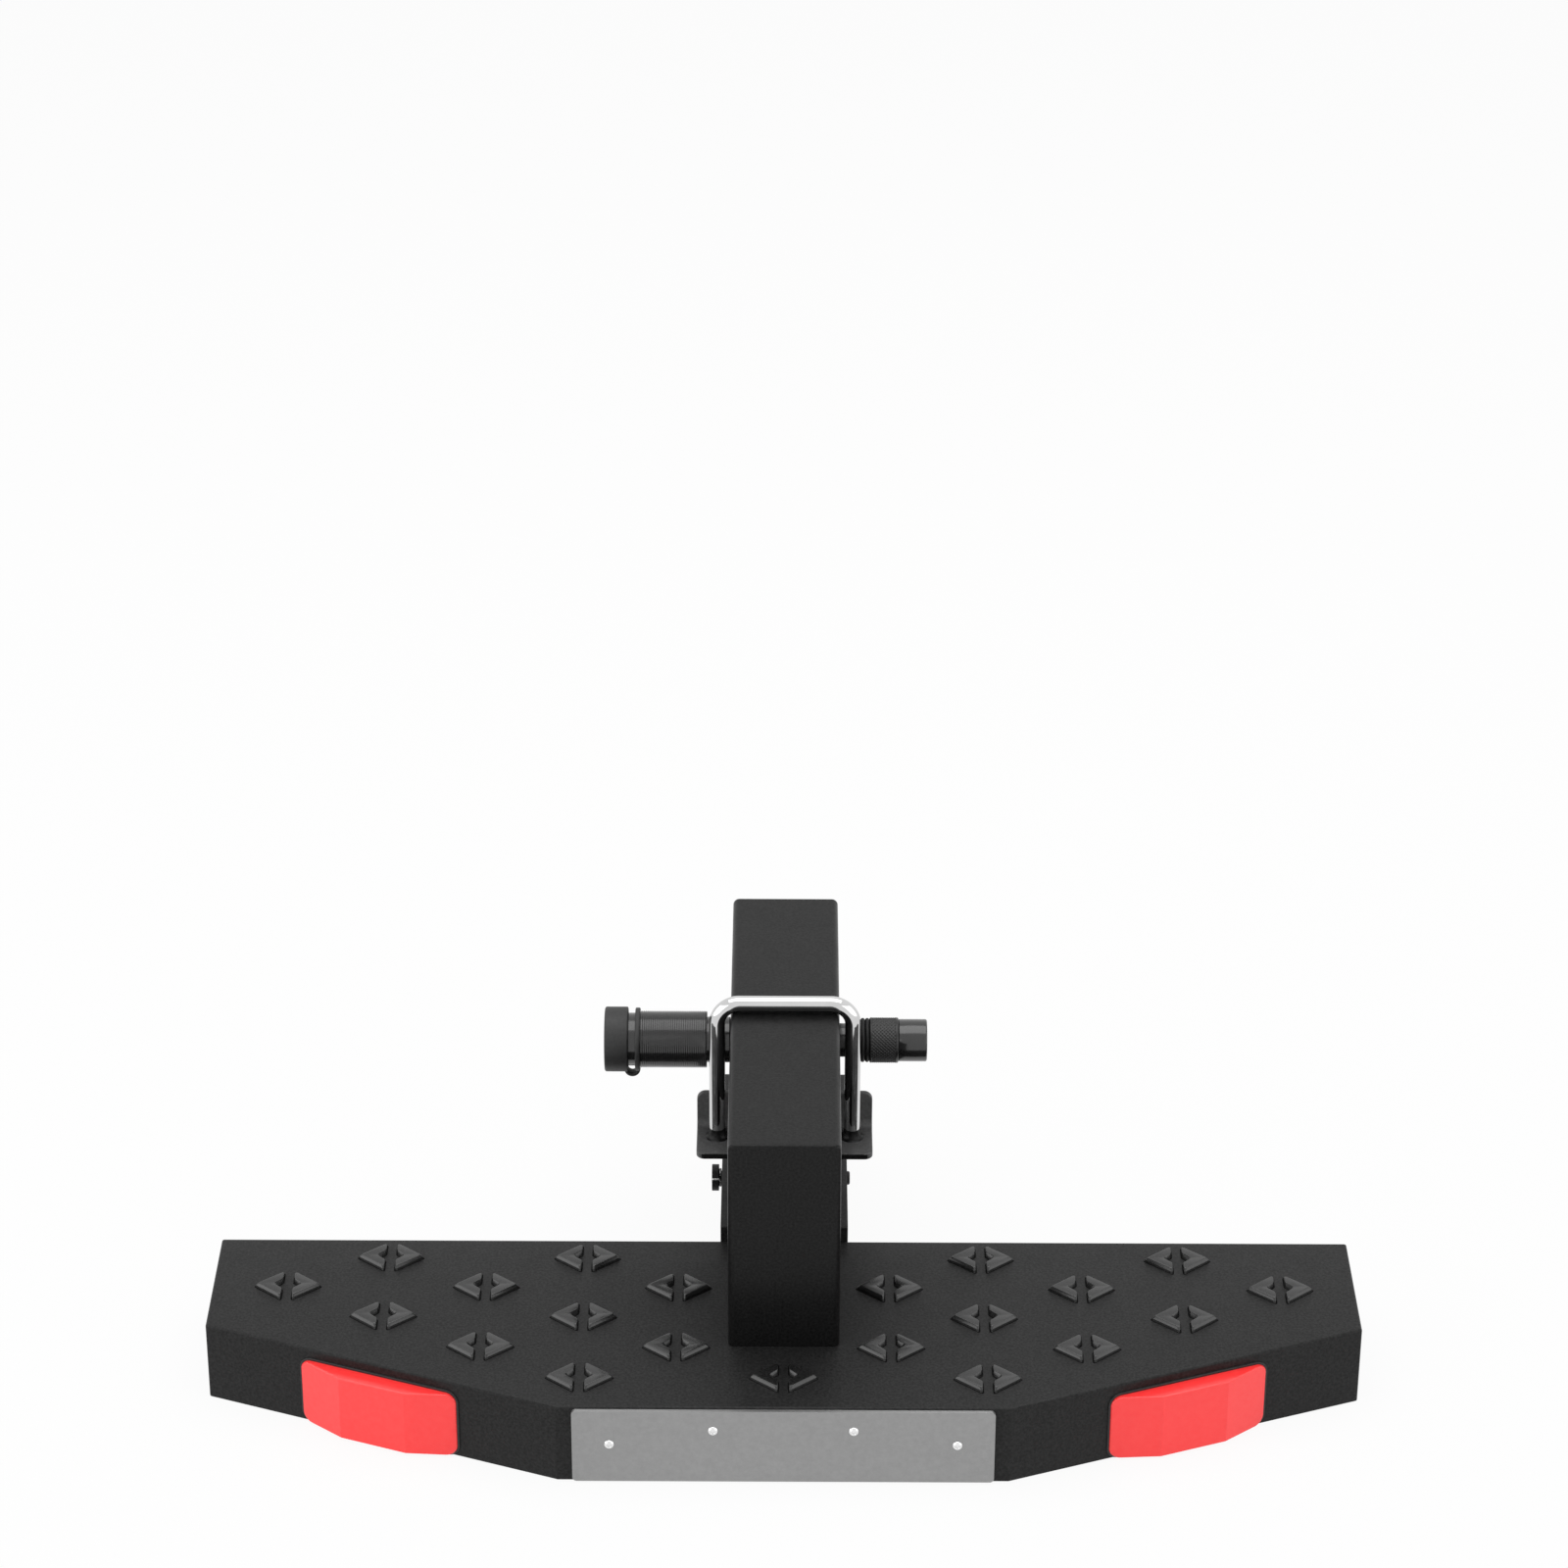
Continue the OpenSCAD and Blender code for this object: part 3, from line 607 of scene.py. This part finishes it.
def make_reflector(side):
    """Softened lens on a thin black pad, put there as painted shade: it shows as a dark line round the lens.
    """
    name = "left" if side < 0 else "right"
    softened_copy("reflector_" + name, 0.7, 4, 20, 30)
    outline = round_cornered(PAD_HALF_L, PAD_HALF_H, PAD_CORNER, 8)
    bm = bmesh.new()
    made = join_rings(bm, [[(x, y, z) for x, z in outline] for y in PAD_DEPTHS])
    bm.faces.new(made[-1])
    pad = make_object("reflector_shade_pad_" + name, bm)
    slant = math.atan2(PAN_SIDE_Y - PAN_FRONT_Y, PAN_HALF_W - PAN_FRONT_HALF_W)
    middle_x = side*(PAN_HALF_W + PAN_FRONT_HALF_W)/2
    middle_y = (PAN_FRONT_Y + PAN_SIDE_Y)/2
    middle = Vector((middle_x, middle_y, PAN_TOP_Z - PAD_DROP))
    pad.matrix_world = Matrix.Translation(middle*MM) @ Matrix.Rotation(side*slant, 4, "Z")
    soften(pad, 0.3, 2)
    pad.data.materials.append(rubber)
    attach(pad, "root")


# Clamp

ROD_R = 3.75
LEG_X = 31.8
U_BOLT_Y = -16.5
CROSSBAR_Z = 29.45
BEND_OUTER_R = 14.5
BEND_R = BEND_OUTER_R - ROD_R
BEND_STEPS = 24
WELD_REACH = 1.95
WELD_STEPS = 12


def make_u_bolt():
    """One bright rod bent twice."""
    end_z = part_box("u_bolt")[0].z/MM
    corner_z = CROSSBAR_Z - BEND_R
    corner_x = LEG_X - BEND_R

    def ring(x, z, turn):
        out = Vector((-math.cos(turn), 0, math.sin(turn)))
        centre = Vector((x, U_BOLT_Y, z))
        return [tuple(centre + (out*a + Vector((0, 1, 0))*b)) for a, b in circle(ROD_R, 48)]

    rings = [ring(-LEG_X, end_z, 0), ring(-LEG_X, end_z + 6, 0), ring(-LEG_X, corner_z - 8, 0)]
    for k in range(BEND_STEPS + 1):
        turn = math.pi/2*k/BEND_STEPS
        rings.append(ring(-corner_x - BEND_R*math.cos(turn), corner_z + BEND_R*math.sin(turn), turn))
    mirrored = [[(-x, y, z) for x, y, z in r] for r in rings[::-1]]
    bm = bmesh.new()
    made = join_rings(bm, rings + mirrored)
    bm.faces.new(made[0])
    bm.faces.new(made[-1])
    stands_for(make_object("u_bolt_rod", bm, 50), "u_bolt")


def make_clamp_plate():
    """Softened copy in the lighter coat of painted light, whose front edge keeps the darker coat of painted
    shade.
    """
    plate = softened_copy("clamp_plate", 0.5, material=clamp_painted_light_coat)
    plate.data.materials.append(painted_shade_coat)
    rod_end_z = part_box("u_bolt")[0].z
    # Faces that look forward below the rod ends take the darker coat: painted shade
    for face in plate.data.polygons:
        if face.normal.y < -0.9 and face.center.z < rod_end_z:
            face.material_index = SECOND


def make_clamp_welds():
    """Hollow fillet of weld round the foot of each leg."""
    lo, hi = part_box("clamp_welds")
    base, top = lo.z/MM, hi.z/MM
    profile = [(ROD_R - 0.05, top)]
    for k in range(WELD_STEPS + 1):
        rise = 1 - k/WELD_STEPS
        out = WELD_REACH*(1 - math.sqrt(1 - (1 - rise)**2))
        profile.append((ROD_R + 0.08 + out, base + (top - base)*rise))
    bm = bmesh.new()
    for side in (-1, 1):
        join_rings(bm, [[(side*LEG_X + a, U_BOLT_Y + b, z) for a, b in circle(r, 64)] for r, z in profile])
    # The fillets take the darker coat, which is painted shade
    stands_for(make_object("clamp_weld_fillets", bm, 60), "clamp_welds", material=painted_shade_coat)


# Hitch pin

HEAD_L = 13.4
HEAD_R = 10.0
COLLAR_R = 10.75
COLLAR_NECK_L = 4.2
COLLAR_NECK_R = 8.35
COLLAR_BORE_R = PIN_R + 0.02
KNURL_DEPTH = 0.45
KNURL_PITCH = 1.7
KNURL_TURNS = 40
KNURL_STEP = 0.23


def make_knurled_collar():
    """Collar with two crossed sets of fine grooves."""
    lo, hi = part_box("pin_collar")
    left, right = lo.x/MM, hi.x/MM
    start = left + COLLAR_NECK_L
    knurl_start = start + 1.1
    knurl_l = right - start - 2.6
    segments = 300

    def ring(x, radius, knurl=0.0):
        points = []
        for k in range(segments):
            turn = k/segments
            along = x/KNURL_PITCH
            around = turn*KNURL_TURNS
            a = abs(((along + around) % 1)*2 - 1)
            b = abs(((along - around) % 1)*2 - 1)
            r = radius - knurl*max(a, b)
            points.append((x, r*math.cos(2*math.pi*turn), r*math.sin(2*math.pi*turn)))
        return points

    plain_r = COLLAR_R - 0.05
    rings = [ring(left, COLLAR_BORE_R), ring(left, COLLAR_NECK_R), ring(start, COLLAR_NECK_R),
             ring(start, COLLAR_R - 0.6), ring(start + 0.5, plain_r), ring(start + 1.0, plain_r)]
    count = int(knurl_l/KNURL_STEP)
    for k in range(count + 1):
        rings.append(ring(knurl_start + knurl_l*k/count, COLLAR_R, KNURL_DEPTH))
    rings += [ring(right - 1.4, plain_r), ring(right - 0.5, plain_r), ring(right, COLLAR_R - 0.6),
              ring(right, COLLAR_BORE_R)]
    bm = bmesh.new()
    join_rings(bm, close_profile(rings))
    weld(bm)
    stands_for(make_object("knurled_collar", bm, 50), "pin_collar", material=knurl_black)


def make_pin():
    """Plain rod with a rounded tip and a larger, dished end."""
    lo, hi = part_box("hitch_pin")
    tip, end = lo.x/MM, hi.x/MM
    head = end - HEAD_L
    bm = bmesh.new()
    lathe_x(bm, [(tip, 0), (tip, PIN_R - 2.2), (tip + 0.25, PIN_R - 1.9), (tip + 2, PIN_R - 0.15),
                 (tip + 2.3, PIN_R), (head, PIN_R), (head, HEAD_R - 0.4), (head + 0.15, HEAD_R - 0.15),
                 (head + 0.4, HEAD_R), (end - 0.7, HEAD_R), (end - 0.25, HEAD_R - 0.18), (end, HEAD_R - 0.6),
                 (end, HEAD_R - 1.8), (end - 0.25, HEAD_R - 2.0), (end - 0.25, 0)])
    stands_for(make_object("pin_rod", bm, 40), "hitch_pin")


def make_o_rings():
    """Two rubber rings side by side."""
    lo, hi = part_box("pin_o_rings")
    cord_r = (hi.x - lo.x)/MM/4
    radius = hi.z/MM - cord_r
    bm = bmesh.new()
    for i in (0, 1):
        x = lo.x/MM + cord_r*(1 + 2*i)
        lathe_x(bm, close_profile([(x + a, radius + b) for a, b in circle(cord_r, 20)]))
    weld(bm)
    stands_for(make_object("o_rings", bm, 60), "pin_o_rings", material=dull_black)


# Lock, dust cap and strap

SHOULDER_L = 11.0
SHOULDER_R = 10.75
SHOULDER_GROOVE_R = 10.25
SLEEVE_L = 31.6
SLEEVE_R = 13.4
RIBS = 31
# Share of a rib's pitch, and depth below the sleeve
RIB_GROOVE = ((0.52, 0), (0.64, 0.25), (0.76, 0.3), (0.88, 0.25), (0.995, 0))
NOSE_R = 12.5
NOSE_BORE_R = 7.06
END_GAP = 0.3
CAP_R = 15.3
CAP_BORE_R = 12.8
STRAP_RING_W = 2.2
STRAP_RING_R = 14.9
STRAP_HALF_W = 2.5
STRAP_HALF_T = 1.0
STRAP_STEPS = 16


def make_lock():
    """Shoulder, ribbed sleeve and nose, with a bore for the pin and one for the core."""
    lo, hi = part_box("lock_body")
    shoulder, nose_end = hi.x/MM, lo.x/MM
    sleeve = shoulder - SHOULDER_L
    nose = sleeve - SLEEVE_L
    bore = PIN_R + PIN_GAP
    profile = [(shoulder, bore), (shoulder, SHOULDER_R - 0.65), (shoulder - 0.15, SHOULDER_R - 0.3),
               (shoulder - 0.5, SHOULDER_R), (shoulder - 3.4, SHOULDER_R),
               (shoulder - 3.4, SHOULDER_GROOVE_R), (shoulder - 4.2, SHOULDER_GROOVE_R),
               (shoulder - 4.2, SHOULDER_R), (sleeve, SHOULDER_R), (sleeve, SLEEVE_R - 0.5),
               (sleeve - 0.15, SLEEVE_R - 0.2), (sleeve - 0.4, SLEEVE_R)]
    pitch = SLEEVE_L/RIBS
    for i in range(RIBS):
        x = sleeve - i*pitch
        profile += [(x - share*pitch, SLEEVE_R - depth) for share, depth in RIB_GROOVE]
    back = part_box("lock_core")[1].x/MM + END_GAP
    profile += [(nose, SLEEVE_R - 0.2), (nose, NOSE_R), (nose_end + 0.5, NOSE_R),
                (nose_end + 0.15, NOSE_R - 0.15), (nose_end, NOSE_R - 0.5), (nose_end, NOSE_BORE_R),
                (back, NOSE_BORE_R), (back, 0)]
    bm = bmesh.new()
    lathe_x(bm, profile, 128)
    bore_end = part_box("hitch_pin")[0].x/MM - END_GAP
    lathe_x(bm, [(bore_end, 0), (bore_end, bore), (shoulder, bore)], 128)
    weld(bm)
    stands_for(make_object("lock_housing", bm), "lock_body")


def make_dust_cap():
    """Rubber cap with a shallow dish in its face."""
    lo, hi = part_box("dust_cap")
    mouth, end = hi.x/MM, lo.x/MM
    outside = [(mouth, CAP_BORE_R), (mouth, CAP_R - 0.4), (mouth - 0.15, CAP_R - 0.15), (mouth - 0.45, CAP_R),
               (end + 0.9, CAP_R), (end + 0.5, CAP_R - 0.1), (end + 0.2, CAP_R - 0.35), (end, CAP_R - 0.9),
               (end, CAP_R - 2.7), (end + 0.25, CAP_R - 3.1), (end + 0.3, 0)]
    inside = [(end + 2.2, 0), (end + 2.2, CAP_BORE_R - 0.4), (end + 2.6, CAP_BORE_R), (mouth, CAP_BORE_R)]
    bm = bmesh.new()
    lathe_x(bm, outside)
    lathe_x(bm, inside)
    weld(bm)
    stands_for(make_object("rubber_cap", bm), "dust_cap")


def make_cap_strap():
    """Ring on the nose and a strap that bends round to the cap."""
    ring_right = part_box("cap_strap")[1].x/MM
    ring_left = ring_right - STRAP_RING_W
    cap_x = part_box("dust_cap")[1].x/MM
    bm = bmesh.new()
    lathe_x(bm, close_profile([(ring_right, NOSE_R), (ring_right, STRAP_RING_R - 0.3),
                               (ring_right - 0.3, STRAP_RING_R), (ring_left + 0.3, STRAP_RING_R),
                               (ring_left, STRAP_RING_R - 0.3), (ring_left, NOSE_R)]))
    weld(bm)
    cap_end = cap_x - 2.0
    middle_x = (ring_right + cap_end)/2
    bend_r = (ring_right - cap_end)/2 - STRAP_HALF_T
    bend_z = -CAP_R - 0.3
    path = [(middle_x + bend_r, 1.0 - STRAP_RING_R, math.pi)]
    for k in range(STRAP_STEPS + 1):
        a = math.pi*k/STRAP_STEPS
        path.append((middle_x + bend_r*math.cos(a), bend_z - bend_r*math.sin(a), math.pi + a))
    path.append((middle_x - bend_r, -CAP_R, 2*math.pi))
    section = [(STRAP_HALF_W*math.copysign(abs(c)**0.45, c), STRAP_HALF_T*math.copysign(abs(s)**0.6, s))
               for c, s in circle(1, 24)]
    rings = []
    for x, z, turn in path:
        across = Vector((math.cos(turn - math.pi), 0, -math.sin(turn - math.pi)))
        centre = Vector((x, 0, z))
        rings.append([tuple(centre + Vector((0, 1, 0))*w + across*t) for w, t in section])
    made = join_rings(bm, rings)
    bm.faces.new(made[0])
    bm.faces.new(made[-1])
    obj = make_object("rubber_strap", bm, 50)
    stands_for(obj, "cap_strap", move=False)
    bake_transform(obj)


# Cross pin's clip

WIRE_THIN_R = 0.4
WIRE_STEPS = 48
WIRE_TAPER_STEPS = 8
WIRE_TURN = math.radians(320)


def make_wire_clip():
    """Open ring behind the pin's head; its thin end comes forward over the rim and into the head."""
    lo, hi = (corner/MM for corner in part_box("cross_pin_clip"))
    head_lo, head_hi = (corner/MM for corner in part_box("cross_pin"))
    wire_r = (hi.x - lo.x)/2
    x = (lo.x + hi.x)/2
    y, z = (head_lo.y + head_hi.y)/2, (head_lo.z + head_hi.z)/2
    ring_r = (hi.z - lo.z)/2 - wire_r
    end_x = head_lo.x + 0.45
    rim_r = (head_hi.z - head_lo.z)/2 + 0.2
    lift = math.radians(155)
    start = math.radians(180)
    # Place along the pin, distance from its axis, and angle round it
    bail = [(end_x, rim_r - 4, lift), (end_x, rim_r - 0.9, lift), (end_x, rim_r, lift),
            (end_x + 0.9, rim_r, lift), (x - 1.0, rim_r, lift), (x, rim_r - 0.2, lift), (x, ring_r, start)]
    path = eased([Vector((a, y + r*math.cos(turn), z + r*math.sin(turn))) for a, r, turn in bail])
    radii = [WIRE_THIN_R]*len(path)
    for k in range(1, WIRE_STEPS + 1):
        turn = start + WIRE_TURN*k/WIRE_STEPS
        path.append(Vector((x, y + ring_r*math.cos(turn), z + ring_r*math.sin(turn))))
        radii.append(min(wire_r, WIRE_THIN_R + (wire_r - WIRE_THIN_R)*k/WIRE_TAPER_STEPS))
    bm = bmesh.new()
    tube(bm, path, radii)
    stands_for(make_object("wire_clip", bm, 60), "cross_pin_clip")


bpy.context.scene.view_settings.view_transform = "Standard"
make_camera()
make_world()
for lamp in LAMPS:
    make_lamp(*lamp)
make_floor()
make_shank_and_arm()
make_pan()
softened_copy("rear_channel", 0.8)
softened_copy("face_plate", 0.35)
make_rivets()
make_reflector(-1)
make_reflector(1)
make_u_bolt()
make_clamp_plate()
make_clamp_welds()
make_pin()
make_knurled_collar()
make_o_rings()
make_lock()
softened_copy("lock_core", 0.2, 2)
make_dust_cap()
make_cap_strap()
softened_copy("cross_pin", 0.25, 2, material=dull_black)
make_wire_clip()
